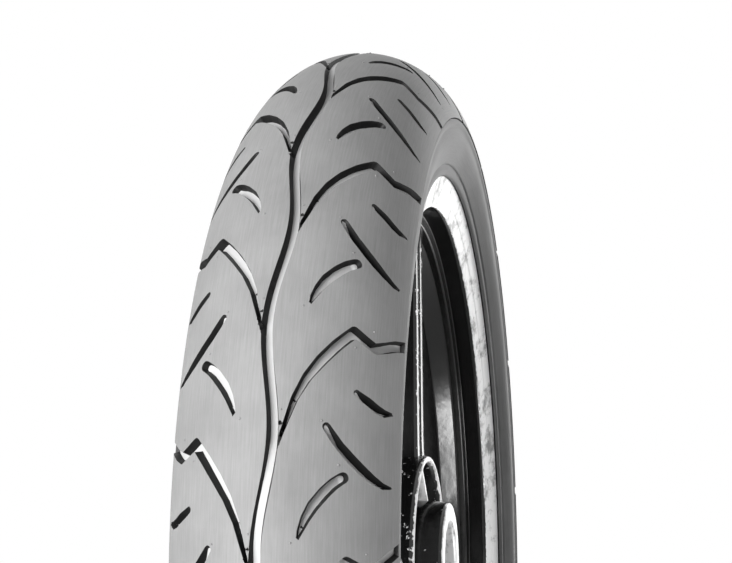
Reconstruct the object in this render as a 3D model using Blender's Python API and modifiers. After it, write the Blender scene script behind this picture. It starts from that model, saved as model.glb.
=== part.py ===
"""Motorcycle road tyre, 110/80-17, fitted on a three-spoke cast wheel with its bearings and valve.

Axle along Y, wheel plane XZ, +Z up, origin at the wheel's centre. Sections are drawn in millimetres
as (distance along the axle, radius) and turned about the axle. +Y is the left side.
"""
import math

import bmesh
import bpy
from mathutils import Matrix, Vector

MM = 0.001

# Driving dimensions, in millimetres
CROWN_RADIUS = 304.0          # half the outside diameter of a 110/80-17 tyre
CROWN_ARC_RADIUS = 55.7       # radius of the round tread section
SHOULDER_ANGLE = math.radians(73.4)   # from the crown to the tread edge, about the arc's centre
TREAD_THICKNESS = 8.0
PLY_THICKNESS = 2.2
LINER_THICKNESS = 1.2
CENTRE_GROOVE_WIDTH = 5.6
CENTRE_GROOVE_DEPTH = 6.0
SIDE_GROOVE_WIDTH = 4.4
SIDE_GROOVE_DEPTH = 4.5
PITCHES = 17                  # repeats of the tread pattern round the tyre
GAP = 0.3                     # clearance between neighbouring pieces
RIM_WELL_OUTSIDE = 205.5      # radius of the drop centre, tyre side
RIM_WELL_INSIDE = 200.0       # radius of the drop centre, spoke side
HUB_RING_RADIUS = 64.4
HUB_RING_HALF_WIDTH = 28.0
BOSS_RADIUS = 36.3
BOSS_HALF_WIDTH = 40.2
BEARING_OUTSIDE_RADIUS = 23.5  # 6204 bearing: 20 x 47 x 14
BEARING_BORE_RADIUS = 10.0
BEARING_WIDTH = 14.0
BEARING_CENTRE = 21.0         # distance of each bearing from the wheel's middle plane
BEARING_FIT = 0.05            # clearance of a bearing or dust seal in its seat
HUB_SHOULDER_RADIUS = 19.0    # bore between the two bearing seats
BALL_RADIUS = 3.97
BALL_PITCH_RADIUS = 16.75
BALLS = 8
SPOKES = 3
SPOKE_ROOT_SIZE = (27.0, 44.5)   # tangential and axial size at the hub
SPOKE_TIP_SIZE = (25.0, 43.5)    # the same at the rim
VALVE_HOLE_RADIUS = 5.8

RING_SEGMENTS = 30            # facets round every large ring, so that nested rings keep their gaps
BEARING_SEGMENTS = 20
VALVE_SEGMENTS = 12
FACET = 2 * math.pi / RING_SEGMENTS
ARC_CENTRE = CROWN_RADIUS - CROWN_ARC_RADIUS
TREAD_STEPS = 8
PLY_STEPS = 6
LEFT, RIGHT = 1, -1
SIDES = (("left", LEFT), ("right", RIGHT))


def material(name, colour, roughness, metallic=0.0):
    """One Principled finish."""
    finish = bpy.data.materials.new(name)
    finish.use_nodes = True
    shader = finish.node_tree.nodes["Principled BSDF"]
    shader.inputs["Base Color"].default_value = (*colour, 1.0)
    shader.inputs["Roughness"].default_value = roughness
    shader.inputs["Metallic"].default_value = metallic
    return finish


def add(name, mesh, finish, collection):
    """Link a mesh as a named piece."""
    piece = bpy.data.objects.new(name, mesh)
    if finish:
        mesh.materials.append(finish)
    collection.objects.link(piece)
    return piece


def clockwise(outline):
    """Order a closed section so that its outer side runs from +Y to -Y, which turns it right side out."""
    area = sum(a[1] * b[0] - b[1] * a[0] for a, b in zip(outline, outline[1:] + outline[:1]))
    return outline if area < 0 else outline[::-1]


def ring(name, outline, finish, collection, segments=RING_SEGMENTS):
    """Turn a closed section, (along the axle, radius) in millimetres, about the axle."""
    points = clockwise(outline)
    mesh = bpy.data.meshes.new(name)
    edges = [(i, (i + 1) % len(points)) for i in range(len(points))]
    mesh.from_pydata([(r * MM, 0.0, y * MM) for y, r in points], edges, [])
    piece = add(name, mesh, finish, collection)
    piece.rotation_euler = (-math.pi / 2, 0.0, 0.0)
    screw = piece.modifiers.new("Turn", "SCREW")
    screw.axis = "Z"
    screw.angle = 2 * math.pi
    screw.steps = segments
    screw.render_steps = segments
    screw.use_merge_vertices = True
    screw.merge_threshold = 0.00001
    return piece


def mirrored(half):
    """A section from its left half: the points, then their mirror images in reverse."""
    return half + [(-y, r) for y, r in half[::-1] if y > 0]


def flip(outline, side):
    """The same section on the given side of the wheel."""
    return [(side * y, r) for y, r in outline]


def arc(radius, steps=PLY_STEPS):
    """Points of a tread arc of this radius, from the left shoulder to the right one."""
    points = []
    for i in range(steps + 1):
        angle = SHOULDER_ANGLE * (1 - 2 * i / steps)
        points.append((radius * math.sin(angle), ARC_CENTRE + radius * math.cos(angle)))
    return points


def boolean(piece, cutter, operation):
    """Cut or join with a helper solid, which the model keeps as a wire guide."""
    step = piece.modifiers.new(operation.title(), "BOOLEAN")
    step.operation = operation
    step.solver = "EXACT"
    step.object = cutter
    cutter.hide_render = True
    cutter.display_type = "WIRE"


def boxes(name, placements, collection):
    """One helper mesh of boxes, each given by its matrix and its size in millimetres."""
    mesh = bpy.data.meshes.new(name)
    bm = bmesh.new()
    for matrix, size in placements:
        scale = Matrix.Diagonal((size[0] * MM, size[1] * MM, size[2] * MM, 1.0))
        bmesh.ops.create_cube(bm, size=1.0, matrix=matrix @ scale)
    bm.to_mesh(mesh)
    bm.free()
    return add(name, mesh, None, collection)


def tread_point(arc_length, degrees, depth=0.0):
    """A point on the tread: arc length from the centre line, angle up from +X, depth below it."""
    angle = arc_length / CROWN_ARC_RADIUS
    radius = CROWN_ARC_RADIUS - depth
    along = radius * math.sin(angle)
    out = ARC_CENTRE + radius * math.cos(angle)
    turn = math.radians(degrees)
    return Vector((out * math.cos(turn), along, out * math.sin(turn))) * MM


def groove_box(start, end, width, depth):
    """Placement of a straight cutter between two (arc length, degrees) points of the tread."""
    middle = ((start[0] + end[0]) / 2, (start[1] + end[1]) / 2)
    first, last = tread_point(*start), tread_point(*end)
    along = (last - first).normalized()
    outward = (tread_point(*middle) - tread_point(*middle, depth=5.0)).normalized()
    across = outward.cross(along).normalized()
    outward = along.cross(across).normalized()
    height = 16.0
    centre = (first + last) / 2 + outward * (height / 2 - depth) * MM
    frame = Matrix((along, across, outward)).transposed().to_4x4()
    size = ((last - first).length / MM, width, height)
    return Matrix.Translation(centre) @ frame, size


def tread_band(finish, model, guides):
    """Round tread with its centre groove, and two slanting grooves a pitch on each side."""
    outer = arc(CROWN_ARC_RADIUS, TREAD_STEPS)
    half = CENTRE_GROOVE_WIDTH / 2
    lip = ARC_CENTRE + math.sqrt(CROWN_ARC_RADIUS ** 2 - half ** 2)
    floor = CROWN_RADIUS - CENTRE_GROOVE_DEPTH
    groove = [(half, lip), (half - 0.4, floor), (0.4 - half, floor), (-half, lip)]
    middle = TREAD_STEPS // 2
    outline = outer[:middle] + groove + outer[middle + 1:] + arc(CROWN_ARC_RADIUS - TREAD_THICKNESS)[::-1]
    band = ring("tread_band", outline, finish, model)
    cuts = []
    pitch = 360.0 / PITCHES
    for i in range(PITCHES):
        for side in (LEFT, RIGHT):
            base = (i + (0.5 if side == RIGHT else 0.0)) * pitch
            long_slash = ((side * 27.0, base + 11.0), (side * 63.0, base + 6.5))
            main_groove = ((side * 10.0, base + 12.0), (side * 42.0, base + 20.5))
            cuts.append(groove_box(*long_slash, SIDE_GROOVE_WIDTH, SIDE_GROOVE_DEPTH - 2.0))
            cuts.append(groove_box(*main_groove, SIDE_GROOVE_WIDTH, SIDE_GROOVE_DEPTH - 2.0))
    boolean(band, boxes("tread_groove_cutters", cuts, guides), "DIFFERENCE")


def tyre(finishes, model, guides):
    """The tyre's layers: tread, ply folded round the beads, liner, sidewalls and bead parts."""
    tread_band(finishes["tread"], model, guides)
    ply_radius = CROWN_ARC_RADIUS - TREAD_THICKNESS - GAP
    ply_out = [(45.2, 253.0), (42.4, 244.8), (27.5, 229.0), (23.6, 226.6), (23.4, 221.5),
               (28.4, 221.5), (30.9, 230.4), (39.4, 237.8)]
    ply_in = [(40.0, 236.8), (32.0, 229.8), (29.7, 223.5), (29.7, 220.2), (21.9, 220.2), (22.0, 227.7),
              (26.2, 230.3), (41.1, 246.1), (43.3, 253.3)]
    outside = arc(ply_radius)
    inside = arc(ply_radius - PLY_THICKNESS)
    outline = outside + flip(ply_out + ply_in, RIGHT) + inside[::-1] + ply_in[::-1] + ply_out[::-1]
    ring("carcass_ply", outline, finishes["ply"], model)
    liner_radius = ply_radius - PLY_THICKNESS - GAP
    liner_out = [(42.9, 253.4), (40.8, 246.5), (25.9, 230.7), (21.6, 228.0), (21.5, 225.1)]
    liner_in = [(20.5, 225.1), (20.6, 228.8), (25.1, 231.6), (39.8, 247.1), (41.7, 253.6)]
    outside = arc(liner_radius)
    inside = arc(liner_radius - LINER_THICKNESS)
    outline = outside + flip(liner_out + liner_in, RIGHT) + inside[::-1] + liner_in[::-1] + liner_out[::-1]
    ring("inner_liner", outline, finishes["liner"], model)
    sidewall = [(45.9, 261.5), (52.6, 263.4), (52.5, 256.0), (50.2, 246.5), (43.4, 234.8), (38.6, 234.7),
                (40.6, 236.5), (39.4, 240.2), (42.4, 243.4), (45.7, 252.8)]
    filler = [(24.9, 226.6), (28.2, 226.8), (30.6, 231.0), (35.4, 236.0), (38.6, 239.0), (38.3, 239.6),
              (32.8, 233.7), (27.8, 228.8)]
    chafer = [(20.6, 218.7), (31.2, 218.7), (31.2, 223.0), (33.6, 228.9), (37.6, 232.9), (42.4, 233.6),
              (42.2, 234.3), (37.3, 233.9), (32.4, 229.5), (30.0, 223.4), (30.0, 219.9), (20.6, 219.9)]
    bead_centre, bead_radius = (25.85, 224.0), 2.3
    corners = [math.radians(30 + 60 * i) for i in range(6)]
    wire = [(bead_centre[0] + bead_radius * math.cos(a), bead_centre[1] + bead_radius * math.sin(a))
            for a in corners]
    for word, side in SIDES:
        ring("sidewall_" + word, flip(sidewall, side), finishes["sidewall"], model)
        ring("bead_filler_" + word, flip(filler, side), finishes["ply"], model)
        ring("chafer_" + word, flip(chafer, side), finishes["ply"], model)
        ring("bead_wire_" + word, flip(wire, side), finishes["steel"], model)


def rim(finish, model, guides):
    """Cast rim: drop centre, bead seats, flanges and their lips, with the valve hole at the bottom."""
    half = [(8.5, RIM_WELL_OUTSIDE), (15.5, 216.8), (31.75, 218.2), (31.75, 223.2), (34.1, 228.7),
            (37.9, 232.4), (41.3, 232.9), (42.9, 231.0), (42.0, 229.5), (36.3, 211.9), (23.8, 212.4),
            (22.9, 206.4), (17.8, 206.0), (6.5, RIM_WELL_INSIDE)]
    piece = ring("rim", mirrored(half), finish, model)
    mesh = bpy.data.meshes.new("valve_hole_cutter")
    bm = bmesh.new()
    hole = VALVE_HOLE_RADIUS * MM
    bmesh.ops.create_cone(bm, cap_ends=True, segments=16, radius1=hole, radius2=hole, depth=30 * MM)
    bm.to_mesh(mesh)
    bm.free()
    cutter = add("valve_hole_cutter", mesh, None, guides)
    cutter.location = (0.0, 0.0, -(RIM_WELL_INSIDE + RIM_WELL_OUTSIDE) / 2 * MM)
    boolean(piece, cutter, "DIFFERENCE")


def hub(finish, model):
    """Cast hub: outer ring, web and the boss that holds the bearings and dust seals."""
    seat = BEARING_OUTSIDE_RADIUS + 0.5
    shoulder = BEARING_CENTRE - BEARING_WIDTH / 2 - GAP
    half = [(HUB_RING_HALF_WIDTH, HUB_RING_RADIUS), (HUB_RING_HALF_WIDTH, 59.0), (8.0, 57.0),
            (8.0, 38.5), (BOSS_HALF_WIDTH, BOSS_RADIUS), (BOSS_HALF_WIDTH, seat), (shoulder, seat),
            (shoulder, HUB_SHOULDER_RADIUS)]
    ring("hub", mirrored(half), finish, model)


def spokes(finish, model):
    """Three tapered spokes between the hub ring and the drop centre, the first straight up."""
    start = HUB_RING_RADIUS + GAP
    end = RIM_WELL_INSIDE * math.cos(FACET / 2) - GAP
    for number in range(SPOKES):
        mesh = bpy.data.meshes.new("spoke_%d" % (number + 1))
        bm = bmesh.new()
        bmesh.ops.create_cube(bm, size=1.0)
        for vert in bm.verts:
            width, depth = SPOKE_TIP_SIZE if vert.co.z > 0 else SPOKE_ROOT_SIZE
            height = end if vert.co.z > 0 else start
            vert.co = Vector((vert.co.x * width, vert.co.y * depth, height)) * MM
        bm.to_mesh(mesh)
        bm.free()
        spoke = add("spoke_%d" % (number + 1), mesh, finish, model)
        spoke.rotation_euler = (0.0, math.radians(360.0 / SPOKES * number), 0.0)
        bevel = spoke.modifiers.new("Cast edges", "BEVEL")
        bevel.width = 3.0 * MM
        bevel.segments = 1


def bearing(word, side, finishes, model, guides):
    """A sealed 6204 bearing: two races, crown cage, eight balls and two seals."""
    centre = side * BEARING_CENTRE
    half_width = BEARING_WIDTH / 2

    def shifted(outline):
        return [(centre + y, r) for y, r in outline]

    outside = BEARING_OUTSIDE_RADIUS - BEARING_FIT
    outer = [(half_width, outside), (half_width, 19.3), (3.6, 19.3), (2.2, 20.8), (0.0, 21.4)]
    inner = [(half_width, BEARING_BORE_RADIUS), (half_width, 14.2), (4.0, 14.2), (2.0, 12.8), (0.0, 12.4)]
    ring("bearing_outer_race_" + word, shifted(mirrored(outer)), finishes["steel"], model,
         BEARING_SEGMENTS)
    ring("bearing_inner_race_" + word, shifted(mirrored(inner)), finishes["steel"], model,
         BEARING_SEGMENTS)
    for place, end in (("outer", side), ("inner", -side)):
        seal = [(6.0, 14.6), (6.9, 14.6), (6.9, 18.8), (6.0, 18.8)]
        ring("bearing_seal_%s_%s" % (word, place), shifted(flip(seal, end)), finishes["seal"], model,
             BEARING_SEGMENTS)
    cage = [(4.3, 15.3), (5.6, 15.3), (5.6, 18.2), (4.3, 18.2)]
    body = ring("bearing_cage_" + word, shifted(flip(cage, side)), finishes["cage"], model,
                BEARING_SEGMENTS)
    fingers = []
    for number in range(BALLS):
        turn = Matrix.Rotation(2 * math.pi * (number + 0.5) / BALLS, 4, "Y")
        place = Matrix.Translation(Vector((BALL_PITCH_RADIUS, centre + side * 1.4, 0.0)) * MM)
        fingers.append((turn @ place, (2.2, 6.8, 2.4)))
    boolean(body, boxes("cage_fingers_" + word, fingers, guides), "UNION")
    mesh = bpy.data.meshes.new("bearing_ball")
    bm = bmesh.new()
    bmesh.ops.create_icosphere(bm, subdivisions=2, radius=BALL_RADIUS * MM)
    bm.to_mesh(mesh)
    bm.free()
    mesh.materials.append(finishes["steel"])
    for number in range(BALLS):
        angle = 2 * math.pi * number / BALLS
        ball = add("bearing_ball_%s_%d" % (word, number + 1), mesh, None, model)
        spot = (BALL_PITCH_RADIUS * math.cos(angle), centre, -BALL_PITCH_RADIUS * math.sin(angle))
        ball.location = Vector(spot) * MM


def axle_stack(finishes, model, guides):
    """Bearings, the distance tube between their inner races, and the dust seals outside them."""
    reach = BEARING_CENTRE - BEARING_WIDTH / 2 - GAP
    bore = BEARING_BORE_RADIUS + 0.2
    tube = [(reach, bore), (reach, 13.0), (-reach, 13.0), (-reach, bore)]
    ring("distance_tube", tube, finishes["steel"], model, BEARING_SEGMENTS)
    for word, side in SIDES:
        bearing(word, side, finishes, model, guides)
        outside = BEARING_OUTSIDE_RADIUS - BEARING_FIT
        lip = BEARING_CENTRE + BEARING_WIDTH / 2 + GAP
        seal = [(lip, outside), (lip + 4.2, outside), (lip + 4.2, 20.5), (lip + 2.0, 16.0),
                (lip + 1.0, 16.0), (lip, 20.0)]
        ring("dust_seal_" + word, flip(seal, side), finishes["seal"], model, BEARING_SEGMENTS)


def stem_piece(name, outline, finish, model):
    """Turn a valve piece about the valve's own axis: (radius, distance of the section from the axle)."""
    points = [(-distance, radius) for radius, distance in outline]
    mesh = bpy.data.meshes.new(name)
    order = clockwise(points)
    joins = [(i, (i + 1) % len(order)) for i in range(len(order))]
    if min(radius for height, radius in order) == 0.0:
        first = next(i for i in range(len(order)) if order[i][1] == 0.0 and order[i - 1][1] == 0.0)
        order = order[first:] + order[:first]
        joins = joins[:-1]
    mesh.from_pydata([(r * MM, 0.0, z * MM) for z, r in order], joins, [])
    piece = add(name, mesh, finish, model)
    screw = piece.modifiers.new("Turn", "SCREW")
    screw.axis = "Z"
    screw.angle = 2 * math.pi
    screw.steps = VALVE_SEGMENTS
    screw.render_steps = VALVE_SEGMENTS
    screw.use_merge_vertices = True
    screw.merge_threshold = 0.00001
    return piece


def valve(finishes, model):
    """Snap-in tubeless valve at the bottom of the rim: (radius, distance out from the rim's inner face)."""
    body = [(4.3, 9.8), (9.0, 9.8), (9.0, 8.2), (8.6, 6.6), (5.2, 6.6), (5.2, 0.0),
            (7.6, 0.0), (7.4, -9.2), (5.8, -23.2), (4.3, -23.2)]
    stem = [(2.5, 10.6), (4.0, 10.6), (4.0, -32.2), (2.5, -32.2)]
    core = [(1.1, -5.2), (2.2, -5.2), (2.2, -27.2), (1.1, -27.2)]
    pin = [(0.0, -3.2), (0.8, -3.2), (0.8, -31.2), (0.0, -31.2)]
    cap = [(4.3, -23.8), (5.3, -23.8), (5.3, -33.8), (4.2, -35.2), (0.0, -35.2), (0.0, -33.6),
           (3.6, -33.6), (4.3, -32.8)]
    rim_face = RIM_WELL_INSIDE * math.cos(FACET / 2) - GAP
    for name, outline, finish in (("valve_body", body, "seal"), ("valve_stem", stem, "brass"),
                                  ("valve_core", core, "brass"), ("valve_pin", pin, "brass"),
                                  ("valve_cap", cap, "cap")):
        placed = [(radius, rim_face + distance) for radius, distance in outline]
        stem_piece(name, placed, finishes[finish], model)


def build():
    """Clear the scene and make the wheel, from the tyre inwards."""
    for item in list(bpy.data.objects):
        bpy.data.objects.remove(item, do_unlink=True)
    model = bpy.data.collections.new("motorcycle_tyre")
    guides = bpy.data.collections.new("cutters")
    for collection in (model, guides):
        bpy.context.scene.collection.children.link(collection)
    finishes = {
        "tread": material("tread_rubber", (0.05, 0.05, 0.052), 0.7),
        "sidewall": material("sidewall_rubber", (0.035, 0.035, 0.037), 0.6),
        "ply": material("rubberised_cord", (0.10, 0.09, 0.08), 0.8),
        "liner": material("butyl_liner", (0.02, 0.02, 0.02), 0.5),
        "seal": material("seal_rubber", (0.02, 0.02, 0.02), 0.6),
        "steel": material("bearing_steel", (0.55, 0.56, 0.57), 0.25, 1.0),
        "cage": material("cage_nylon", (0.55, 0.50, 0.40), 0.5),
        "paint": material("black_wheel_paint", (0.012, 0.012, 0.013), 0.15),
        "brass": material("valve_brass", (0.60, 0.45, 0.20), 0.3, 1.0),
        "cap": material("valve_cap_plastic", (0.02, 0.02, 0.02), 0.4),
    }
    tyre(finishes, model, guides)
    rim(finishes["paint"], model, guides)
    hub(finishes["paint"], model)
    spokes(finishes["paint"], model)
    axle_stack(finishes, model, guides)
    valve(finishes, model)


build()
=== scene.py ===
"""Looks of a motorcycle road tyre on its black three-spoke cast wheel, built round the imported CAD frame.

The axle lies along Y and the wheel stands in the XZ plane. Sections are given in millimetres as
(distance along the axle, radius) and turned about the axle.
"""
import math

import bmesh
import bpy
import numpy as np
from mathutils import Matrix, Vector


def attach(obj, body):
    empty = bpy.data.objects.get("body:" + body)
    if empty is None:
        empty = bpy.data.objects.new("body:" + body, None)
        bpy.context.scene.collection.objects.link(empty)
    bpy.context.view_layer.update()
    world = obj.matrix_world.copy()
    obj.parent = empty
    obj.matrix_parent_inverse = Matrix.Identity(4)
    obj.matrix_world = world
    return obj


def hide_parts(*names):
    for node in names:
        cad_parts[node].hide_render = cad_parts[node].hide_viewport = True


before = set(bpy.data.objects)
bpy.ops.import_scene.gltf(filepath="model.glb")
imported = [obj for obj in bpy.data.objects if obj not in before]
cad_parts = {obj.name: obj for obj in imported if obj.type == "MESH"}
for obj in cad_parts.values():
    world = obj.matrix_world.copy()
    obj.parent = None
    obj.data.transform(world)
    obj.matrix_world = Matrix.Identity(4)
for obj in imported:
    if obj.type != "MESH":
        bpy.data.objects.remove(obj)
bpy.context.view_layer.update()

# ---------------------------------------------------------------------------------------------------
# Camera. It stands at axle height in front of the tread, a little to the wheel's left side, and looks
# up, so that the tyre rises out of the bottom of the frame and the hub is cut by its lower edge.
MM = 0.001
CAMERA_PLACE = (1.0325, 0.1826, 0.0003)
CAMERA_AZIMUTH = math.radians(100.64)
CAMERA_ELEVATION = math.radians(-9.276)
camera_data = bpy.data.cameras.new("camera")
camera_data.lens = 84.9
camera_data.sensor_width = 36.0
camera_data.clip_start = 0.01
camera = bpy.data.objects.new("camera", camera_data)
bpy.context.scene.collection.objects.link(camera)
camera.location = CAMERA_PLACE
camera.rotation_euler = (math.pi / 2 - CAMERA_ELEVATION, 0.0, CAMERA_AZIMUTH)
bpy.context.scene.camera = camera

# ---------------------------------------------------------------------------------------------------
# Studio. A white surround, a pale matt floor under the tyre, one large soft key light on the front of
# the tread, and weaker soft boxes that give the black paint its long reflections.


def hex_colour(code):
    """An sRGB hex value as linear RGBA: each channel is (c + 0.055) / 1.055 to the power 2.4."""
    channels = [int(code[i:i + 2], 16) / 255 for i in (0, 2, 4)]
    linear = [c / 12.92 if c <= 0.04045 else ((c + 0.055) / 1.055) ** 2.4 for c in channels]
    return (*linear, 1.0)


def add_node(tree, kind, links=None, **settings):
    """A node with its settings; links maps an input's name or number to a value or an output."""
    node = tree.nodes.new(kind)
    for name, value in settings.items():
        setattr(node, name, value)
    for key, value in (links or {}).items():
        if isinstance(value, bpy.types.NodeSocket):
            tree.links.new(value, node.inputs[key])
        else:
            node.inputs[key].default_value = value
    return node


def new_material(name, **values):
    """A material's node tree and its Principled shader, with constant sockets set."""
    finish = bpy.data.materials.new(name)
    finish.use_nodes = True
    shader = finish.node_tree.nodes["Principled BSDF"]
    for socket, value in values.items():
        shader.inputs[socket.replace("_", " ")].default_value = value
    return finish, finish.node_tree, shader


def soft_box(name, place, size, power, target=(0.0, 0.0, 0.0), along=(0.0, 0.0, 1.0)):
    """A rectangular area light that faces its target, with its long side turned towards along. The
    power is in watts, and the box itself isn't seen by the camera."""
    light = bpy.data.lights.new(name, "AREA")
    light.shape = "RECTANGLE"
    light.size, light.size_y = size
    light.energy = power
    lamp = bpy.data.objects.new(name, light)
    bpy.context.scene.collection.objects.link(lamp)
    back = (Vector(place) - Vector(target)).normalized()
    side = Vector(along).cross(back).normalized()
    turn = Matrix((side, back.cross(side), back)).transposed().to_4x4()
    lamp.matrix_world = Matrix.Translation(place) @ turn
    lamp.visible_camera = False


WORLD_CUT = 0.78                       # share of the surround's light kept off matt surfaces
FLOOR_GLOW = 0.62                      # light added to the floor as the camera sees it, so that it stays pale
bpy.context.scene.view_settings.view_transform = "Standard"
world = bpy.data.worlds.new("studio")
world.use_nodes = True
bpy.context.scene.world = world
sky = world.node_tree
seen = add_node(sky, "ShaderNodeLightPath")
glow = add_node(sky, "ShaderNodeMath", {0: seen.outputs["Is Diffuse Ray"], 1: -WORLD_CUT, 2: 1.0},
                operation="MULTIPLY_ADD")
sky.nodes["Background"].inputs["Color"].default_value = (1.0, 1.0, 1.0, 1.0)
sky.links.new(glow.outputs[0], sky.nodes["Background"].inputs["Strength"])

soft_box("key", (1.8, -0.72, 0.15), (1.0, 1.2), 60.0, (0.1, 0.0, 0.05))
soft_box("top", (-0.2, 0.3, 1.5), (1.0, 0.8), 1.0)
soft_box("behind", (-1.3, 0.35, 0.45), (0.7, 1.2), 6.0)
soft_box("low_strip", (0.175, 0.575, -0.285), (0.1, 0.6), 4.0, (0.175, 0.575, 0.5), (0.74, 0.67, 0.0))

floor_mesh = bpy.data.meshes.new("floor")
FLOOR_HALF = 4.0
FLOOR_LEVEL = -0.3045
floor_mesh.from_pydata([(-FLOOR_HALF, -FLOOR_HALF, FLOOR_LEVEL), (FLOOR_HALF, -FLOOR_HALF, FLOOR_LEVEL),
                        (FLOOR_HALF, FLOOR_HALF, FLOOR_LEVEL), (-FLOOR_HALF, FLOOR_HALF, FLOOR_LEVEL)],
                       [], [(0, 1, 2, 3)])
floor = bpy.data.objects.new("floor", floor_mesh)
bpy.context.scene.collection.objects.link(floor)
# Matt white paper: an even pale ground with no sheen
floor_finish, floor_tree, floor_shader = new_material("matt_studio_floor", Roughness=0.9)
floor_shader.inputs["Base Color"].default_value = hex_colour("e6e6e6")
floor_shader.inputs["Emission Color"].default_value = (1.0, 1.0, 1.0, 1.0)
floor_seen = add_node(floor_tree, "ShaderNodeLightPath")
floor_glow = add_node(floor_tree, "ShaderNodeMath", {0: floor_seen.outputs["Is Camera Ray"], 1: FLOOR_GLOW},
                      operation="MULTIPLY")
floor_tree.links.new(floor_glow.outputs[0], floor_shader.inputs["Emission Strength"])
floor_mesh.materials.append(floor_finish)

# ---------------------------------------------------------------------------------------------------
# Tread. Vulcanised rubber with a wavy centre groove and, on each side, a curved main groove that runs
# out over the shoulder, a long slash with a branch, and a short dash. The left side repeats the right
# one half a pitch on. It is one moulding, made here in six sectors to keep each mesh small.
CROWN = 304.0                          # outside radius
ARC = 55.7                             # radius of the tread's round section
ARC_CENTRE = CROWN - ARC
SHOULDER = math.radians(73.4)          # angle of the tread edge from the crown, about the arc's centre
HALF_ARC = ARC * SHOULDER
TREAD_THICKNESS = 7.9
PITCHES = 17
FRONT_PITCH = 20.6                     # degrees a pattern repeat takes where the tyre faces the camera
FRONT = 45.0                           # the middle of that stretch, in degrees up from +X
WALL = 1.0                             # how far a groove's wall slopes in from its edge, in millimetres
CENTRE_WAVE = 3.1                      # the centre groove's swing to each side
CENTRE_HALF_WIDTH = 2.7
CENTRE_DEPTH = 4.8
JUNCTION = 10.6                        # degrees: where the centre groove swings furthest to the right
WEAR_BARS = 6

# Each groove is a list of (arc length from the centre line, degrees, half width, depth)
GROOVES = [
    [(4.5, 9.0, 0.4, 3.4), (7.0, 10.7, 0.9, 4.0), (12.0, 13.8, 1.7, 4.2), (17.0, 15.8, 2.3, 4.2),
     (23.0, 17.5, 2.8, 4.2), (30.0, 19.2, 2.9, 4.2), (37.6, 20.8, 2.8, 4.2), (43.5, 20.3, 2.6, 4.0),
     (49.5, 19.9, 2.6, 4.0), (56.0, 20.5, 2.7, 3.4), (63.0, 21.3, 2.7, 3.0), (73.0, 22.2, 2.6, 2.8)],
    [(26.8, 11.6, 1.9, 1.4), (29.5, 10.9, 2.2, 3.4), (33.5, 10.0, 2.3, 5.4), (40.0, 8.9, 2.5, 5.4),
     (45.0, 8.2, 2.5, 5.0), (51.0, 7.55, 2.1, 4.6), (57.5, 7.1, 1.5, 3.6), (63.0, 7.1, 0.6, 2.0),
     (67.0, 7.4, 0.15, 0.8)],
    [(35.6, 7.35, 2.5, 3.0), (34.6, 7.25, 2.6, 3.8), (31.0, 6.75, 2.7, 4.0), (27.0, 6.0, 2.8, 4.0),
     (22.0, 4.85, 2.7, 4.0), (18.8, 3.8, 2.2, 3.4), (16.6, 2.8, 1.5, 2.6), (15.3, 2.0, 0.5, 1.4)],
    [(40.6, 15.05, 1.7, 1.2), (44.0, 14.75, 2.0, 3.6), (47.5, 14.5, 2.2, 5.0), (52.5, 14.1, 2.2, 4.6),
     (57.0, 13.95, 1.9, 4.0), (62.0, 14.15, 0.8, 2.4), (66.5, 14.3, 0.2, 1.0)],
]


def pattern_angle(turn):
    """Degrees in the pattern for degrees round the tyre: a straight line plus a sine, so that pitches
    are a little shorter in front and longer behind, and a whole number of them still fits."""
    ease = (1 / FRONT_PITCH - PITCHES / 360) * 180 / math.pi
    away = turn - FRONT
    return FRONT + FRONT_PITCH * (PITCHES * away / 360 + ease * np.sin(np.radians(away)))


def groove_field(across, turn):
    """Signed distance to the nearest groove edge (negative inside) and that groove's depth, in
    millimetres, from the distance to a widening line and to the cosine wave of the centre groove."""
    side = across < 0
    s = np.abs(across)
    angle = pattern_angle(turn) - np.where(side, FRONT_PITCH / 2, 0.0)
    scale = np.radians(1.0) * (ARC_CENTRE + ARC * np.cos(across / ARC))
    wave = 2 * math.pi * (angle - JUNCTION) / FRONT_PITCH
    slope = CENTRE_WAVE * 2 * math.pi / FRONT_PITCH * np.sin(wave) / scale
    distance = np.abs(s - CENTRE_WAVE * np.cos(wave)) / np.hypot(1.0, slope) - CENTRE_HALF_WIDTH
    bar = np.clip(6.0 * np.cos(np.radians((turn - 5.0) * WEAR_BARS)) - 5.0, 0.0, 1.0)
    depth = CENTRE_DEPTH - 3.0 * bar
    for groove in GROOVES:
        for (s0, a0, h0, z0), (s1, a1, h1, z1) in zip(groove, groove[1:]):
            middle = (a0 + a1) / 2
            near = (angle - middle + FRONT_PITCH / 2) % FRONT_PITCH - FRONT_PITCH / 2
            ds, dt = s - s0, (near + (a1 - a0) / 2) * scale
            es, et = s1 - s0, (a1 - a0) * scale
            along = np.clip((ds * es + dt * et) / (es * es + et * et), 0.0, 1.0)
            gap = np.hypot(ds - along * es, dt - along * et) - (h0 + (h1 - h0) * along)
            closer = gap < distance
            distance = np.where(closer, gap, distance)
            depth = np.where(closer, z0 + (z1 - z0) * along, depth)
    return distance, depth


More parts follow.
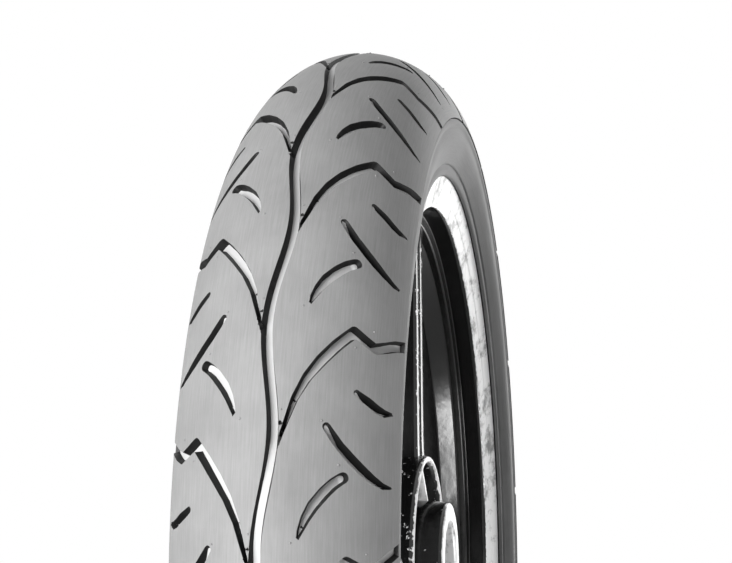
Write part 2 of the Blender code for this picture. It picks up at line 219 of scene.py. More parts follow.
def snap_to_edges(across, turn):
    """Slide each grid point that is near a groove's edge, or near the foot of its wall, onto it, down
    the slope of the distance field, so that grooves have clean edges on a plain grid."""
    distance, depth = groove_field(across, turn)
    scale = np.radians(1.0) * (ARC_CENTRE + ARC * np.cos(across / ARC))
    row_step = (turn[1, 0] - turn[0, 0]) * scale
    column_step = across[0, 1] - across[0, 0]
    slope_t = np.gradient(distance, axis=0) / row_step
    slope_s = np.gradient(distance, axis=1) / column_step
    slope_s[:, [0, -1]] = 0.0
    steep = np.maximum(slope_s ** 2 + slope_t ** 2, 0.25)
    top = np.abs(distance) < WALL / 2
    foot = np.abs(distance + WALL) < WALL / 2
    travel = np.where(top, distance, np.where(foot, distance + WALL, 0.0)) / steep
    moved = across - travel * slope_s
    turned = turn - travel * slope_t / scale
    distance, depth = groove_field(moved, turned)
    sunk = depth * np.clip((-distance - 0.15) / (WALL - 0.35), 0.0, 1.0)
    return moved, turned, sunk


def grid_faces(rows, columns, wrap_rows=False, wrap_columns=False):
    """Quads of a grid of points stored row by row, with or without a seam joined."""
    r = np.arange(rows if wrap_rows else rows - 1)
    c = np.arange(columns if wrap_columns else columns - 1)
    r, c = np.meshgrid(r, c, indexing="ij")
    r2, c2 = (r + 1) % rows, (c + 1) % columns
    quads = np.stack([r * columns + c, r * columns + c2, r2 * columns + c2, r2 * columns + c], axis=-1)
    return quads.reshape(-1, 4)


def split_along_level(quads, levels):
    """Cut each quad in two triangles along the diagonal whose ends differ less in level, so that the
    edges of a groove run along the cuts."""
    a, b, c, d = quads.T
    along = (np.abs(levels[a] - levels[c]) <= np.abs(levels[b] - levels[d]))[:, None]
    first = np.where(along, np.stack([a, b, c], axis=1), np.stack([a, b, d], axis=1))
    second = np.where(along, np.stack([a, c, d], axis=1), np.stack([b, c, d], axis=1))
    return np.concatenate([first, second])


def close_mesh(mesh, merge):
    """Fill the open ends with flat faces that keep a sharp edge, and merge the points at a pole."""
    work = bmesh.new()
    work.from_mesh(mesh)
    if merge:
        bmesh.ops.remove_doubles(work, verts=work.verts, dist=1e-7)
        loose = [edge for edge in work.edges if edge.is_wire]
        bmesh.ops.delete(work, geom=loose, context="EDGES")
    ends = [edge for edge in work.edges if edge.is_boundary]
    for edge in ends:
        edge.smooth = False
    bmesh.ops.holes_fill(work, edges=ends)
    work.to_mesh(mesh)
    work.free()


def mesh_piece(name, points, faces, finish, uv=None, marks=None, face_marks=None, merge=False):
    """A named piece from an array of points in millimetres and an array of faces, shaded smooth. uv is
    one pair per point; marks and face_marks map an attribute's name to one number per point or face."""
    mesh = bpy.data.meshes.new(name)
    mesh.vertices.add(len(points))
    mesh.vertices.foreach_set("co", (points * MM).astype(np.float32).ravel())
    mesh.loops.add(faces.size)
    mesh.loops.foreach_set("vertex_index", faces.astype(np.int32).ravel())
    mesh.polygons.add(len(faces))
    mesh.polygons.foreach_set("loop_start", np.arange(0, faces.size, faces.shape[1], dtype=np.int32))
    mesh.update(calc_edges=True)
    mesh.validate()
    mesh.shade_smooth()
    if uv is not None:
        layer = mesh.uv_layers.new(name="surface")
        corners = np.zeros(len(mesh.loops), np.int32)
        mesh.loops.foreach_get("vertex_index", corners)
        layer.data.foreach_set("uv", uv[corners].astype(np.float32).ravel())
    for mark, values in (marks or {}).items():
        attribute = mesh.attributes.new(mark, "FLOAT", "POINT")
        attribute.data.foreach_set("value", values.astype(np.float32).ravel())
    for mark, values in (face_marks or {}).items():
        attribute = mesh.attributes.new(mark, "FLOAT", "FACE")
        attribute.data.foreach_set("value", values.astype(np.float32).ravel())
    close_mesh(mesh, merge)
    mesh.materials.append(finish)
    piece = bpy.data.objects.new(name, mesh)
    bpy.context.scene.collection.objects.link(piece)
    return piece


def rubber(name, light, dark, dust, bump):
    """Vulcanised tyre rubber, dulled by dust. Streaks 0.8 mm wide run round the tyre, broad smudges are
    some 40 mm across. Groove sides, marked 'wall', are painted near-black as painted shade, and groove
    floors, marked 'ground', are pale: partly dust, partly painted light on floors left in shade."""
    finish, tree, shader = new_material(name, IOR=1.52, Specular_IOR_Level=0.2)
    place = add_node(tree, "ShaderNodeTexCoord")
    stretched = add_node(tree, "ShaderNodeMapping", {0: place.outputs["UV"], 3: (45.0, 1250.0, 1.0)})
    streaks = add_node(tree, "ShaderNodeTexNoise", {"Vector": stretched.outputs[0], "Scale": 1.0,
                                                    "Detail": 3.0, "Roughness": 0.6})
    smudge = add_node(tree, "ShaderNodeTexNoise", {"Vector": place.outputs["Object"], "Scale": 25.0,
                                                   "Detail": 4.0, "Roughness": 0.6})
    grain = add_node(tree, "ShaderNodeTexNoise", {"Vector": place.outputs["Object"], "Scale": 1400.0,
                                                  "Detail": 2.0})
    both = add_node(tree, "ShaderNodeMath", {0: streaks.outputs["Fac"], 1: 0.4, 2: 0.05},
                    operation="MULTIPLY_ADD")
    both = add_node(tree, "ShaderNodeMath", {0: smudge.outputs["Fac"], 1: dust, 2: both.outputs[0]},
                    operation="MULTIPLY_ADD")
    ramp = add_node(tree, "ShaderNodeValToRGB", {0: both.outputs[0]})
    ramp.color_ramp.elements[0].position = 0.25
    ramp.color_ramp.elements[0].color = hex_colour(dark)
    ramp.color_ramp.elements[1].position = 0.75
    ramp.color_ramp.elements[1].color = hex_colour(light)
    # Painted light and dust: groove floors are set pale so they look lit, though the key light leaves them in
    # shade
    ground = add_node(tree, "ShaderNodeAttribute", attribute_name="ground")
    floor_dust_and_light = add_node(tree, "ShaderNodeMix", {0: ground.outputs["Fac"], 6: ramp.outputs[0],
                                             7: hex_colour("bcbcbc")}, data_type="RGBA")
    # Painted shade: groove walls are set near-black so that the grooves read as shadowed recesses
    wall = add_node(tree, "ShaderNodeAttribute", attribute_name="wall")
    shade = add_node(tree, "ShaderNodeMix", {0: wall.outputs["Fac"], 6: floor_dust_and_light.outputs[2],
                                             7: hex_colour("1a1a1a")}, data_type="RGBA")
    tree.links.new(shade.outputs[2], shader.inputs["Base Color"])
    rough = add_node(tree, "ShaderNodeMapRange", {0: smudge.outputs["Fac"], 3: 0.42, 4: 0.62})
    tree.links.new(rough.outputs[0], shader.inputs["Roughness"])
    height = add_node(tree, "ShaderNodeMath", {0: grain.outputs["Fac"], 1: 0.4, 2: streaks.outputs["Fac"]},
                      operation="MULTIPLY_ADD")
    relief = add_node(tree, "ShaderNodeBump", {"Height": height.outputs[0], "Strength": bump,
                                               "Distance": 0.0002})
    tree.links.new(relief.outputs[0], shader.inputs["Normal"])
    return finish


def tread_points(across, turn, sunk):
    """Points of the tread: an arc section turned about the axle, sunk along the arc's own radius."""
    lean = across / ARC
    out = ARC - sunk
    reach = ARC_CENTRE + out * np.cos(lean)
    angle = np.radians(turn)
    return np.stack([reach * np.cos(angle), out * np.sin(lean), reach * np.sin(angle)], axis=-1)


# Vulcanised tread rubber under dust: mid grey, satin, with fine streaks round the tyre
tread_rubber = rubber("moulded_tread_rubber", "989898", "747474", 0.5, 0.35)
CREASE = math.radians(38)              # steeper edges than this are shaded sharp
WALL_STEP = 0.7                        # a face that spans more than this in level is a groove's wall
TREAD_SECTORS = 6
ROWS = 400                             # rows in a sector, 0.8 mm apart at the crown
COLUMNS = 176                          # columns over the tread, 0.8 mm apart
UNDER_COLUMNS = 16
for sector in range(TREAD_SECTORS):
    first = sector * 360.0 / TREAD_SECTORS
    turns = np.linspace(first, first + 360.0 / TREAD_SECTORS, ROWS + 1)
    margin = turns[1] - turns[0]
    longer = np.concatenate([[first - margin], turns, [turns[-1] + margin]])
    spread = np.linspace(-HALF_ARC, HALF_ARC, COLUMNS)
    turn, across = np.meshgrid(longer, spread, indexing="ij")
    moved, turned, sunk = (field[1:-1] for field in snap_to_edges(across, turn))
    turned[[0, -1]] = turn[[1, -2]]
    outer = tread_points(moved, turned, sunk)
    under_turn, under_across = np.meshgrid(turns, np.linspace(HALF_ARC, -HALF_ARC, UNDER_COLUMNS),
                                           indexing="ij")
    under = tread_points(under_across, under_turn, np.full_like(under_turn, TREAD_THICKNESS))
    points = np.concatenate([outer, under], axis=1)
    columns = COLUMNS + UNDER_COLUMNS
    levels = np.concatenate([sunk, np.full_like(under_turn, TREAD_THICKNESS)], axis=1).ravel()
    faces = split_along_level(grid_faces(ROWS + 1, columns, wrap_columns=True), levels)
    levels = levels[faces]
    # Faces that span a groove's depth take the near-black painted wall shade in the tread material
    wall = (levels.max(axis=1) - levels.min(axis=1) > WALL_STEP) * 1.0
    # Floor faces deep in a groove take the pale painted light in the tread material
    ground = (levels.min(axis=1) > WALL_STEP) * (1.0 - wall)
    uv = np.stack([np.radians(np.concatenate([turned, under_turn], axis=1)) * CROWN * MM,
                   np.concatenate([moved, under_across], axis=1) * MM], axis=-1)
    name = "tread_sector_%d" % (sector + 1)
    piece = mesh_piece(name, points.reshape(-1, 3), faces, tread_rubber, uv.reshape(-1, 2),
                       face_marks={"wall": wall, "ground": ground})
    piece.data.set_sharp_from_angle(angle=CREASE)
    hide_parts("tread_band")
    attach(piece, "wheel")

# ---------------------------------------------------------------------------------------------------
# Vent pips. Short stubs of rubber left where the mould's air vents were, six in each repeat of the
# pattern on either side, trimmed to under half a millimetre.
PIPS = [(12.4, 22.4), (38.4, 19.3), (47.9, 21.55), (33.0, 8.4), (24.4, 12.06), (6.3, 12.8)]
PIP_RINGS = [(0.6, 0.3), (0.5, -0.3), (0.3, -0.45)]    # (radius, how far it is sunk)
PIP_SIDES = 6
TABLE_STEPS = 7201
turn_table = np.linspace(0.0, 360.0, TABLE_STEPS)
angle_table = pattern_angle(turn_table)
repeats = np.arange(PITCHES) * FRONT_PITCH
pips = []
for side in (1, -1):
    shift = FRONT_PITCH / 2 if side < 0 else 0.0
    for along, place in PIPS:
        angles = angle_table[0] + (place + shift + repeats - angle_table[0]) % (PITCHES * FRONT_PITCH)
        pips.append(np.stack([np.full(PITCHES, side * along), np.interp(angles, angle_table, turn_table)],
                             axis=-1))
pips = np.concatenate(pips)
pip_scale = np.radians(1.0) * (ARC_CENTRE + ARC * np.cos(pips[:, 0] / ARC))
corner = np.arange(PIP_SIDES) * 2 * math.pi / PIP_SIDES
ring_size, ring_sunk = np.array(PIP_RINGS).T
pip_across = pips[:, 0][:, None, None] + ring_size[:, None] * np.cos(corner)
pip_turn = pips[:, 1][:, None, None] + ring_size[:, None] * np.sin(corner) / pip_scale[:, None, None]
pip_points = tread_points(pip_across, pip_turn, np.broadcast_to(ring_sunk[:, None], pip_across.shape))
one_pip = grid_faces(len(PIP_RINGS), PIP_SIDES, wrap_columns=True)
pip_faces = one_pip[None] + (np.arange(len(pips)) * len(PIP_RINGS) * PIP_SIDES)[:, None, None]
vent_pips = mesh_piece("vent_pips", pip_points.reshape(-1, 3), pip_faces.reshape(-1, 4)[:, ::-1],
                       tread_rubber)
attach(vent_pips, "wheel")

# ---------------------------------------------------------------------------------------------------
# Sidewalls. Smooth moulded rubber from just under the tread edge to the rim, with fine raised rings
# above the bead and a fold line where the rubber leaves the flange.


def rounded(corners, steps=5):
    """An outline with each corner (along, radius, size) replaced by a parabola that starts and ends
    that size away from it along its two sides. A size of 0 keeps the corner sharp."""
    points = np.array([c[:2] for c in corners], float)
    sizes = np.array([c[2] for c in corners], float)
    curve = []
    for i, (point, size) in enumerate(zip(points, sizes)):
        if size == 0.0:
            curve.append(point[None])
            continue
        back, ahead = points[i - 1] - point, points[(i + 1) % len(points)] - point
        start = point + back / np.linalg.norm(back) * min(size, np.linalg.norm(back) * 0.49)
        end = point + ahead / np.linalg.norm(ahead) * min(size, np.linalg.norm(ahead) * 0.49)
        t = np.linspace(0.0, 1.0, steps + 1)[:, None]
        curve.append((1 - t) ** 2 * start + 2 * t * (1 - t) * point + t ** 2 * end)
    return np.concatenate(curve)


def turned_piece(name, outline, finish, segments=288, marks=None, upright=False, flutes=0):
    """A closed section (along the axis, radius) turned about the axle, or about Z if it is upright, and
    set running one way round so that its faces point outwards. Flutes make the radius fall by up to 5%
    in that many cosine waves."""
    section = np.array(outline, float)
    following = np.roll(section, -1, axis=0)
    area = (section[:, 0] * following[:, 1] - section[:, 1] * following[:, 0]).sum()
    flipped = area < 0
    if flipped:
        section = section[::-1]
    angle = np.arange(segments) * 2 * math.pi / segments
    y = section[:, 0][None]
    r = section[:, 1][None] * (1.0 - 0.05 * (flutes > 0) * (0.5 - 0.5 * np.cos(flutes * angle)))[:, None]
    points = np.stack([r * np.cos(angle)[:, None], np.broadcast_to(y, (segments, len(section))),
                       r * np.sin(angle)[:, None]], axis=-1)
    if upright:
        points = points[..., [0, 2, 1]] * (1.0, -1.0, 1.0)
    quads = grid_faces(segments, len(section), wrap_rows=True, wrap_columns=True)[:, ::-1]
    length = np.concatenate([[0.0], np.cumsum(np.linalg.norm(np.diff(section, axis=0), axis=1))])
    turn, down = np.meshgrid(angle * section[:, 1].max(), length, indexing="ij")
    uv = np.stack([turn, down], axis=-1).reshape(-1, 2) * MM
    spread = {}
    for mark, rule in (marks or {}).items():
        spread[mark] = np.tile(rule(section[:, 0], section[:, 1]), segments)
    return mesh_piece(name, points.reshape(-1, 3), quads, finish, uv, spread,
                      merge=section[:, 1].min() < 1e-6)


def side_of(outline, side):
    """The same outline on the left (+1) or right (-1) side of the wheel."""
    return [(side * corner[0], *corner[1:]) for corner in outline]


SIDES = (("left", 1), ("right", -1))
# Sidewall rubber, less dusty than the tread: dark grey with a soft sheen in broad clouds
side_rubber = rubber("moulded_sidewall_rubber", "565656", "2e2e2e", 0.7, 0.25)
sidewall_outside = [(52.9, 263.8, 0.6), (53.0, 261.0, 1.0), (52.2, 259.0, 1.0), (52.3, 253.0, 4.0),
                    (50.6, 247.0, 4.0), (47.6, 240.0, 3.0), (46.6, 237.6, 0.8), (45.5, 237.3, 0.6),
                    (46.0, 234.0, 1.0), (45.4, 231.2, 1.2), (43.6, 230.2, 0.5), (43.3, 232.2, 0.5)]
sidewall_inside = [(40.9, 234.7, 0.3), (38.8, 234.7, 0.0), (40.6, 236.5, 0.0), (39.4, 240.2, 0.0),
                   (42.4, 243.4, 0.0), (45.7, 252.8, 0.0), (45.9, 261.5, 0.3)]
for word, side in SIDES:
    outline = rounded(side_of(sidewall_outside + sidewall_inside, side))
    piece = turned_piece("sidewall_" + word + "_skin", outline, side_rubber, 360)
    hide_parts("sidewall_" + word)
    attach(piece, "wheel")

# ---------------------------------------------------------------------------------------------------
# Casting: rim. Cast aluminium with gloss black paint. Its flange lips were turned after painting and
# are bare, bright and nicked, with paint chipped off along their inner edge.


def painted_casting(name):
    """Gloss black enamel over cast aluminium. The point attribute 'bare' is 1 where the metal was turned
    bright; noise at 3 mm and 0.6 mm breaks its border into chips and pits the bare metal."""
    finish, tree, shader = new_material(name)
    place = add_node(tree, "ShaderNodeTexCoord")
    chips = add_node(tree, "ShaderNodeTexNoise", {"Vector": place.outputs["Object"], "Scale": 220.0,
                                                  "Detail": 5.0, "Roughness": 0.65})
    bare = add_node(tree, "ShaderNodeAttribute", attribute_name="bare")
    edge = add_node(tree, "ShaderNodeMath", {0: chips.outputs["Fac"], 1: 1.3, 2: bare.outputs["Fac"]},
                    operation="MULTIPLY_ADD")
    mask = add_node(tree, "ShaderNodeMapRange", {0: edge.outputs[0], 1: 1.10, 2: 1.16})
    dirt = add_node(tree, "ShaderNodeTexNoise", {"Vector": place.outputs["Object"], "Scale": 60.0,
                                                 "Detail": 6.0, "Roughness": 0.7})
    metal = add_node(tree, "ShaderNodeValToRGB", {0: dirt.outputs["Fac"]})
    metal.color_ramp.elements[0].position = 0.36
    metal.color_ramp.elements[0].color = hex_colour("8c8c8c")
    metal.color_ramp.elements[1].position = 0.5
    metal.color_ramp.elements[1].color = hex_colour("ececec")
    colour = add_node(tree, "ShaderNodeMix", {0: mask.outputs[0], 6: hex_colour("0d0d0d"),
                                              7: metal.outputs[0]}, data_type="RGBA")
    tree.links.new(colour.outputs[2], shader.inputs["Base Color"])
    gloss = add_node(tree, "ShaderNodeMapRange", {0: dirt.outputs["Fac"], 3: 0.08, 4: 0.24})
    rough = add_node(tree, "ShaderNodeMix", {0: mask.outputs[0], 2: gloss.outputs[0], 3: 0.45})
    tree.links.new(rough.outputs[0], shader.inputs["Roughness"])
    metallic = add_node(tree, "ShaderNodeMath", {0: mask.outputs[0], 1: 0.5}, operation="MULTIPLY")
    tree.links.new(metallic.outputs[0], shader.inputs["Metallic"])
    ripple = add_node(tree, "ShaderNodeTexNoise", {"Vector": place.outputs["Object"], "Scale": 110.0,
                                                   "Detail": 2.0})
    height = add_node(tree, "ShaderNodeMath", {0: mask.outputs[0], 1: -0.4, 2: ripple.outputs["Fac"]},
                      operation="MULTIPLY_ADD")
    relief = add_node(tree, "ShaderNodeBump", {"Height": height.outputs[0], "Strength": 0.25,
                                               "Distance": 0.0004})
    tree.links.new(relief.outputs[0], shader.inputs["Normal"])
    return finish


# Sprayed gloss enamel: deep black with long reflections, and chips down to pale turned metal
black_paint = painted_casting("gloss_black_enamel_on_cast_aluminium")
WELL_OUTSIDE, WELL_INSIDE = 205.5, 200.0
rim_half = [(8.5, WELL_OUTSIDE, 3.0), (15.5, 216.8, 2.0), (31.75, 218.2, 1.0), (31.75, 223.2, 3.0),
            (34.1, 228.7, 2.0), (37.9, 232.4, 2.0), (41.3, 232.9, 0.8), (42.9, 231.0, 0.8),
            (42.0, 229.5, 0.8), (39.6, 222.0, 0.5), (39.0, 221.2, 0.4), (36.6, 212.8, 0.8),
            (34.6, 211.8, 1.5), (23.9, 212.4, 0.9), (22.9, 206.5, 1.2), (17.8, 206.1, 0.8),
            (6.5, WELL_INSIDE, 0.8)]
rim_outline = rounded(rim_half + [(-y, r, size) for y, r, size in rim_half[::-1]])


def lip_mark(y, r):
    """1 on the flange lips, fading over 2 mm below their inner edge."""
    return np.clip((np.abs(y) - 35.4) / 1.6, 0.0, 1.0) * np.clip((233.5 - r), 0.0, 1.0)


rim = turned_piece("rim_casting", rim_outline, black_paint, 360, {"bare": lip_mark})
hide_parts("rim")
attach(rim, "wheel")

# ---------------------------------------------------------------------------------------------------
# Casting: hub. An outer ring and a boss joined by a web, with radial ribs in the pockets between them.
# Ring and boss have turned, bare end faces, and the boss holds the bearings and their dust seals.
BEARING_CENTRE, BEARING_HALF_WIDTH = 21.0, 7.0
SEAT_END = BEARING_CENTRE - BEARING_HALF_WIDTH - 0.3
hub_half = [(25.5, 64.4, 1.0), (28.0, 63.4, 0.6), (28.0, 61.4, 0.6), (26.0, 59.4, 1.0), (8.0, 56.8, 3.0),
            (8.0, 38.7, 3.0), (38.6, 36.5, 1.0), (40.2, 35.4, 0.5), (40.2, 25.6, 0.8), (38.8, 24.2, 0.5),
            (SEAT_END, 24.0, 0.4), (SEAT_END, 19.0, 0.5)]
hub_outline = rounded(hub_half + [(-y, r, size) for y, r, size in hub_half[::-1]])


def hub_mark(y, r):
    """1 on the turned end faces of the ring and the boss and inside the boss's bore."""
    away = np.abs(y)
    ring = (0.3 * (away > 24.0) + np.clip((away - 27.3) / 0.6, 0.0, 1.0)) * (r > 50.0)
    boss = 0.28 * (away > 36.0) + np.clip((away - 39.5) / 0.6, 0.0, 1.0)
    bore = (r < 25.0) * 1.0
    return np.maximum(np.maximum(ring, boss), bore)


hub = turned_piece("hub_casting", hub_outline, black_paint, 180, {"bare": hub_mark})
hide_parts("hub")
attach(hub, "wheel")

RIBS = 3
RIB_THICKNESS = 4.4
RIB_START, RIB_END = 36.5, 60.5
RIB_TOP, RIB_RISE = 22.5, 4.0          # height of the top edge at the ring, and how much higher at the boss
RIB_CREASE = math.radians(40)
rib_points, rib_quads = [], []
rib_radius = np.linspace(RIB_START, RIB_END, 13)
for side in (1, -1):
    for number in range(RIBS):
        angle = math.pi / 2 + 2 * math.pi * number / RIBS
        radial = np.array([math.cos(angle), 0.0, math.sin(angle)])
        sideways = np.array([-math.sin(angle), 0.0, math.cos(angle)])
        top = RIB_TOP + RIB_RISE * (RIB_END - rib_radius) / (RIB_END - RIB_START)
        section = [(-0.8, 17.0), (-0.6, 1.4), (-0.42, 0.0), (0.42, 0.0), (0.6, 1.4), (0.8, 17.0)]
        rows = []
        for share, drop in section:
            height = top - drop
            rows.append(rib_radius[:, None] * radial + share * RIB_THICKNESS * sideways
                        + (side * height)[:, None] * np.array([0.0, 1.0, 0.0]))
        block = np.stack(rows, axis=1).reshape(-1, 3)
        quads = grid_faces(len(rib_radius), len(section), wrap_columns=True)
        quads = quads[:, ::-1] if side == 1 else quads
        rib_quads.append(quads + sum(len(p) for p in rib_points))
        rib_points.append(block)
rib_points = np.concatenate(rib_points)
rib_bare = 0.9 * (np.abs(rib_points[:, 1]) > 22.3)
ribs = mesh_piece("hub_ribs", rib_points, np.concatenate(rib_quads), black_paint,
                  marks={"bare": rib_bare})
ribs.data.set_sharp_from_angle(angle=RIB_CREASE)
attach(ribs, "wheel")

# ---------------------------------------------------------------------------------------------------
# Casting: spokes. Three straight arms, the first straight up, each with a narrow slot along the middle
# of both faces and edges rubbed bare, a little wider at the hub and flared where they run into it.
SPOKES = 3
SPOKE_START, SPOKE_END = 62.5, 201.0
SPOKE_ROWS = 90
SPOKE_WIDTH, SPOKE_DEPTH = 27.0, 44.5  # at the hub
WELL_HALF = 6.5                        # half width of the rim's flat well
FLANK_SLOPE, FLANK_RISE = 0.53, 6.0    # the spoke's end follows the rim's flank outwards by this much
EDGE_WEAR = 0.34
spoke_half = [(0.5, 0.0, 0.0), (0.5, 0.465, 0.02), (0.46, 0.5, 0.02), (0.13, 0.5, 0.01),
              (0.09, 0.45, 0.01)]
spoke_section = spoke_half + [(-x, y, size) for x, y, size in spoke_half[::-1]]
spoke_section += [(-x, -y, size) for x, y, size in spoke_half[1:]]
spoke_section += [(x, -y, size) for x, y, size in spoke_half[:0:-1]]
section = rounded(spoke_section, 4)
for number in range(SPOKES):
    share = np.linspace(0.0, 1.0, SPOKE_ROWS)[:, None]
    radius = SPOKE_START + (SPOKE_END - SPOKE_START) * share
    flare_out = np.exp(-(SPOKE_END - radius) / 9.0)
    flare_in = np.exp(-(radius - SPOKE_START) / 7.0)
    width = SPOKE_WIDTH - 2.0 * share + 5.0 * flare_out + 3.0 * flare_in
    depth = SPOKE_DEPTH - 1.0 * share + 0.5 * flare_out + 1.0 * flare_in
    x = section[:, 0][None] * width
    y = section[:, 1][None] * depth
    reach = radius + share * np.clip(FLANK_SLOPE * (np.abs(y) - WELL_HALF), 0.0, FLANK_RISE)
    angle = 2 * math.pi * number / SPOKES
    points = np.stack([x * math.cos(angle) + reach * math.sin(angle), y,
                       -x * math.sin(angle) + reach * math.cos(angle)], axis=-1)
    count = len(section)
    quads = grid_faces(SPOKE_ROWS, count, wrap_columns=True)
    name = "spoke_casting_%d" % (number + 1)
    edge = np.broadcast_to(EDGE_WEAR * (np.abs(section[:, 1]) > 0.48), (SPOKE_ROWS, count))
    worn = edge * np.clip((SPOKE_END - radius) / 12.0, 0.0, 1.0)
    piece = mesh_piece(name, points.reshape(-1, 3), quads[:, ::-1], black_paint,
                       marks={"bare": worn.ravel()})
    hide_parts("spoke_%d" % (number + 1))
    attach(piece, "wheel")

# ---------------------------------------------------------------------------------------------------
# Tyre body under the rubber. A rubber-coated cord ply turned up round two rings of bead wire, with a
# rubber filler over each, a woven chafer strip under it and a butyl liner that holds the air.


def mottled(name, light, dark, grain, roughness, relief=0.1, source="Object", **sockets):
    """A finish mottled by noise. grain is the number of patches in a metre along each axis of the
    source, roughness its two ends, and relief the strength of the same noise as bumps."""
    finish, tree, shader = new_material(name, **sockets)
    place = add_node(tree, "ShaderNodeTexCoord")
    squeezed = add_node(tree, "ShaderNodeMapping", {0: place.outputs[source], 3: grain})
    patches = add_node(tree, "ShaderNodeTexNoise", {"Vector": squeezed.outputs[0], "Scale": 1.0,
                                                    "Detail": 4.0, "Roughness": 0.55})
    ramp = add_node(tree, "ShaderNodeValToRGB", {0: patches.outputs["Fac"]})
    ramp.color_ramp.elements[0].position = 0.3
    ramp.color_ramp.elements[0].color = hex_colour(dark)
    ramp.color_ramp.elements[1].position = 0.7
    ramp.color_ramp.elements[1].color = hex_colour(light)
    tree.links.new(ramp.outputs[0], shader.inputs["Base Color"])
    rough = add_node(tree, "ShaderNodeMapRange", {0: patches.outputs["Fac"], 3: roughness[0],
                                                  4: roughness[1]})
    tree.links.new(rough.outputs[0], shader.inputs["Roughness"])
    bumps = add_node(tree, "ShaderNodeBump", {"Height": patches.outputs["Fac"], "Strength": relief,
                                              "Distance": 0.0002})
    tree.links.new(bumps.outputs[0], shader.inputs["Normal"])
    return finish


def finish_nodes(finish, *names):
    """Give CAD solids that are shown as they are a finish."""
    for name in names:
        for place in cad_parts[name].material_slots:
            place.material = finish


# Calendered rubber over 0.9 mm cords: dull brown-black with faint ridges
ply_finish = mottled("calendered_rubber_cord_ply", "3a3634", "24211f", (60.0, 1100.0, 60.0), (0.55, 0.7),
                     0.4, IOR=1.52)
# Butyl against the curing bladder: smooth, black, a soft sheen in 15 mm clouds
liner_finish = mottled("moulded_butyl_liner", "202020", "121212", (70.0, 70.0, 70.0), (0.35, 0.5), IOR=1.53)
# Drawn wire with a bronze coat: warm metal with 1 mm streaks
wire_finish = mottled("drawn_bronze_coated_wire", "b8935c", "8a6b3c", (900.0, 900.0, 900.0), (0.25, 0.4),
                      Metallic=1.0)
# Extruded hard rubber: even, dull black
filler_finish = mottled("extruded_bead_filler_rubber", "2c2c2c", "1c1c1c", (200.0, 200.0, 200.0), (0.6, 0.75),
                        IOR=1.52)
# Rubber-coated fabric: a 0.7 mm weave that catches a little light
chafer_finish = mottled("coated_chafer_fabric", "343434", "1e1e1e", (1400.0, 1400.0, 1400.0), (0.5, 0.65),
                        0.3, IOR=1.52)
finish_nodes(ply_finish, "carcass_ply")
finish_nodes(liner_finish, "inner_liner")
for word, side in SIDES:
    finish_nodes(wire_finish, "bead_wire_" + word)
    finish_nodes(filler_finish, "bead_filler_" + word)
    finish_nodes(chafer_finish, "chafer_" + word)

# ---------------------------------------------------------------------------------------------------
# Bearings. Two sealed deep-groove ball bearings pressed into the boss on either side of a distance
# tube. Their rings are ground, the cages are moulded nylon and the seals are rubber on steel.

# Hardened steel ground round the axle: bright, with fine rings 0.6 mm apart
race_finish = mottled("ground_bearing_steel", "d2d2d4", "a4a4a8", (30.0, 1700.0, 1.0), (0.16, 0.3), 0.1, "UV",
                      Metallic=1.0)
# Lapped balls: mirror bright, hardly mottled
ball_finish = mottled("lapped_bearing_steel", "dcdcde", "cacacc", (300.0, 300.0, 300.0), (0.06, 0.12), 0.02,
                      Metallic=1.0)
# Glass-filled nylon: cream, satin, with 2 mm clouds of fibre
cage_finish = mottled("moulded_glass_filled_nylon", "c2b490", "a89a74", (500.0, 500.0, 500.0), (0.4, 0.55),
                      IOR=1.53)
# Nitrile rubber moulded on a steel disc: even satin black
seal_finish = mottled("moulded_nitrile_rubber", "2c2c2c", "1a1a1a", (700.0, 700.0, 700.0), (0.4, 0.6),
                      IOR=1.52)
# Cut steel tube with a zinc coat: light grey with dull clouds
tube_finish = mottled("zinc_plated_steel_tube", "b6b8ba", "8e9094", (220.0, 220.0, 220.0), (0.3, 0.5),
                      Metallic=1.0)
outer_race_half = [(7.0, 23.45, 0.5), (7.0, 19.3, 0.3), (3.6, 19.3, 0.3), (2.2, 20.8, 0.8), (0.0, 21.4, 1.0)]
inner_race_half = [(7.0, 10.0, 0.5), (7.0, 14.2, 0.3), (4.0, 14.2, 0.3), (2.0, 12.8, 0.8), (0.0, 12.4, 1.0)]
seal_ring = [(6.0, 14.6, 0.2), (6.9, 14.6, 0.2), (6.9, 18.8, 0.2), (6.0, 18.8, 0.2)]
BALLS = 8


def bearing_ring(half, centre):
    """A ring's section from its outer half: the half and its mirror image, moved to the centre."""
    whole = half + [(-y, r, size) for y, r, size in half[-2::-1]]
    return rounded([(centre + y, r, size) for y, r, size in whole], 3)


for word, side in SIDES:
    centre = side * BEARING_CENTRE
    for part, half, body in (("outer_race_", outer_race_half, "wheel"),
                             ("inner_race_", inner_race_half, "axle_stack")):
        ring = turned_piece("ground_" + part + word, bearing_ring(half, centre), race_finish, 96)
        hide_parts("bearing_" + part + word)
        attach(ring, body)
    for end, way in (("outer", side), ("inner", -side)):
        section = rounded([(centre + way * y, r, size) for y, r, size in seal_ring], 3)
        seal = turned_piece("moulded_seal_%s_%s" % (word, end), section, seal_finish, 96)
        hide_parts("bearing_seal_%s_%s" % (word, end))
        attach(seal, "wheel")
    finish_nodes(cage_finish, "bearing_cage_" + word)
    finish_nodes(ball_finish, *["bearing_ball_%s_%d" % (word, ball + 1) for ball in range(BALLS)])

TUBE_END = 13.7
tube_outline = rounded([(TUBE_END, 10.2, 0.3), (TUBE_END, 13.0, 0.3), (-TUBE_END, 13.0, 0.3),
                        (-TUBE_END, 10.2, 0.3)], 3)
tube = turned_piece("zinc_plated_tube", tube_outline, tube_finish, 96)
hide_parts("distance_tube")
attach(tube, "axle_stack")

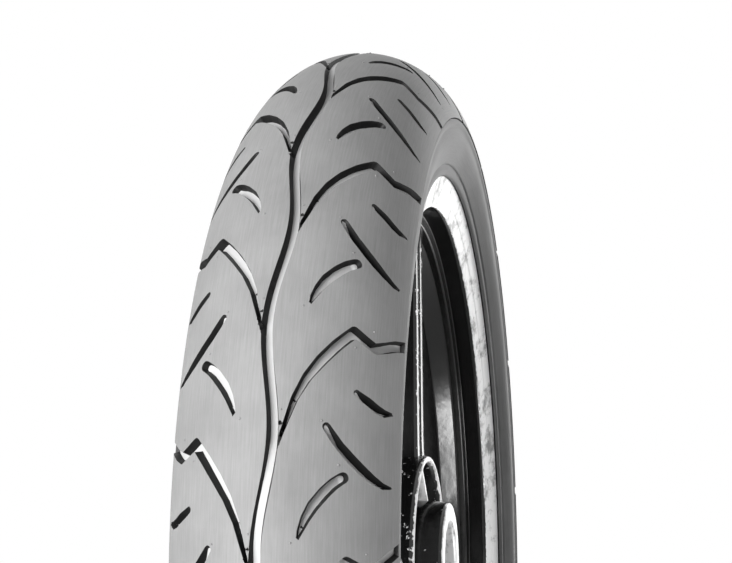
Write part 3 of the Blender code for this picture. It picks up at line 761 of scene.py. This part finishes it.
# ---------------------------------------------------------------------------------------------------
# Dust seals. Nitrile rubber rings pressed into the mouths of the boss, with a thin lip that would run on
# the axle's collar.
SEAL_LIP = 28.3
dust_seal = [(SEAL_LIP, 23.45, 0.3), (SEAL_LIP + 4.2, 23.45, 0.5), (SEAL_LIP + 4.2, 20.5, 0.6),
             (SEAL_LIP + 2.0, 16.0, 0.4), (SEAL_LIP + 1.0, 16.0, 0.4), (SEAL_LIP, 20.0, 0.6)]
for word, side in SIDES:
    seal = turned_piece("moulded_dust_seal_" + word, rounded(side_of(dust_seal, side), 3), seal_finish, 96)
    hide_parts("dust_seal_" + word)
    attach(seal, "wheel")

# ---------------------------------------------------------------------------------------------------
# Valve. A rubber-bodied snap-in tubeless valve in the rim, with a turned brass stem, a screwed-in core,
# its spring pin, and a moulded cap with flutes to grip.
VALVE_SEAT = 198.6                     # radius of the rim's inner face where the valve sits

# Turned brass: warm yellow with rings 0.5 mm apart
brass_finish = mottled("turned_brass", "cdb06a", "a88a48", (30.0, 2000.0, 1.0), (0.22, 0.38), 0.15, "UV",
                       Metallic=1.0)
# Moulded polypropylene: even dull black
cap_finish = mottled("moulded_black_polypropylene", "242424", "161616", (600.0, 600.0, 600.0), (0.35, 0.5),
                     IOR=1.49)
# (name, body, slot, finish, section of (radius, distance outwards from the seat, corner size))
valve_parts = [
    ("body", "wheel", "seal_rubber", seal_finish,
     [(4.3, 9.8, 0.0), (9.0, 9.8, 0.6), (9.0, 8.2, 0.6), (8.6, 6.6, 0.4), (5.2, 6.6, 0.3), (5.2, 0.0, 0.3),
      (7.6, 0.0, 0.5), (7.4, -9.2, 1.5), (5.8, -23.2, 0.6), (4.3, -23.2, 0.2)]),
    ("stem", "wheel", "valve_brass", brass_finish,
     [(2.5, 10.6, 0.2), (4.0, 10.6, 0.3), (4.0, -32.2, 0.3), (2.5, -32.2, 0.2)]),
    ("core", "wheel", "valve_brass", brass_finish,
     [(1.1, -5.2, 0.1), (2.2, -5.2, 0.2), (2.2, -27.2, 0.2), (1.1, -27.2, 0.1)]),
    ("pin", "valve_pin", "valve_brass", brass_finish,
     [(0.0, -3.2, 0.0), (0.8, -3.2, 0.2), (0.8, -31.2, 0.2), (0.0, -31.2, 0.0)]),
    ("cap", "valve_cap", "valve_cap_plastic", cap_finish,
     [(4.3, -23.8, 0.2), (5.3, -23.8, 0.2), (5.3, -33.8, 0.6), (4.2, -35.2, 0.6), (0.0, -35.2, 0.0),
      (0.0, -33.6, 0.0), (3.6, -33.6, 0.4), (4.3, -32.8, 0.3)]),
]
for part, body, slot_name, finish, section in valve_parts:
    outline = rounded([(-(VALVE_SEAT + out), r, size) for r, out, size in section], 3)
    piece = turned_piece("finished_valve_" + part, outline, finish, 96, upright=True,
                         flutes=16 if part == "cap" else 0)
    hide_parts("valve_" + part)
    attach(piece, body)
